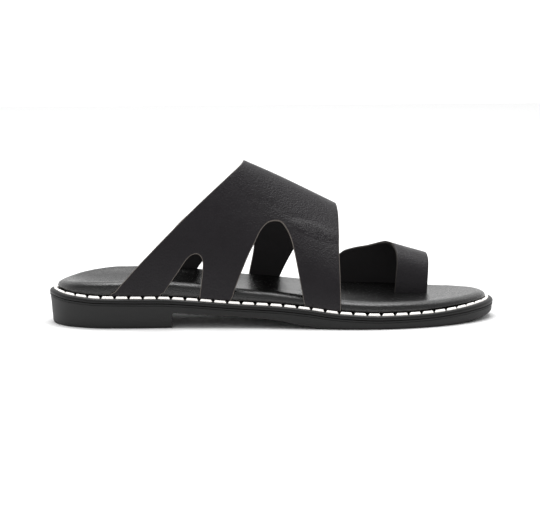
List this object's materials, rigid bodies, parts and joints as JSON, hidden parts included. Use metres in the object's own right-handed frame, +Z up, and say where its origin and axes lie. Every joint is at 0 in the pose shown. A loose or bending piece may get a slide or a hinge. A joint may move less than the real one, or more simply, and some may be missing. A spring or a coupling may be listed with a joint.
{
  "type": "slide sandal",
  "caption": "Right-foot flat leather slide sandal with a cut-out instep strap, a separate big-toe loop, a padded footbed and a welted rubber sole.",
  "frame": {"origin": "on the floor, under the middle of the sole's bounding box", "axes": "+X from the heel to the toe, +Y towards the medial (big toe) side, +Z up"},
  "size_m": [0.262, 0.095, 0.0935],
  "materials": {
    "black_rubber": "matt moulded rubber",
    "black_welt": "satin moulded welt",
    "black_footbed_leather": "semi-gloss coated leather over foam",
    "black_strap_leather": "satin smooth-grain leather"
  },
  "bodies": {
    "root": {"outsole": "black_rubber", "welt": "black_welt", "footbed": "black_footbed_leather", "upper": "black_strap_leather", "toe_loop": "black_strap_leather"}
  },
  "joints": []
}
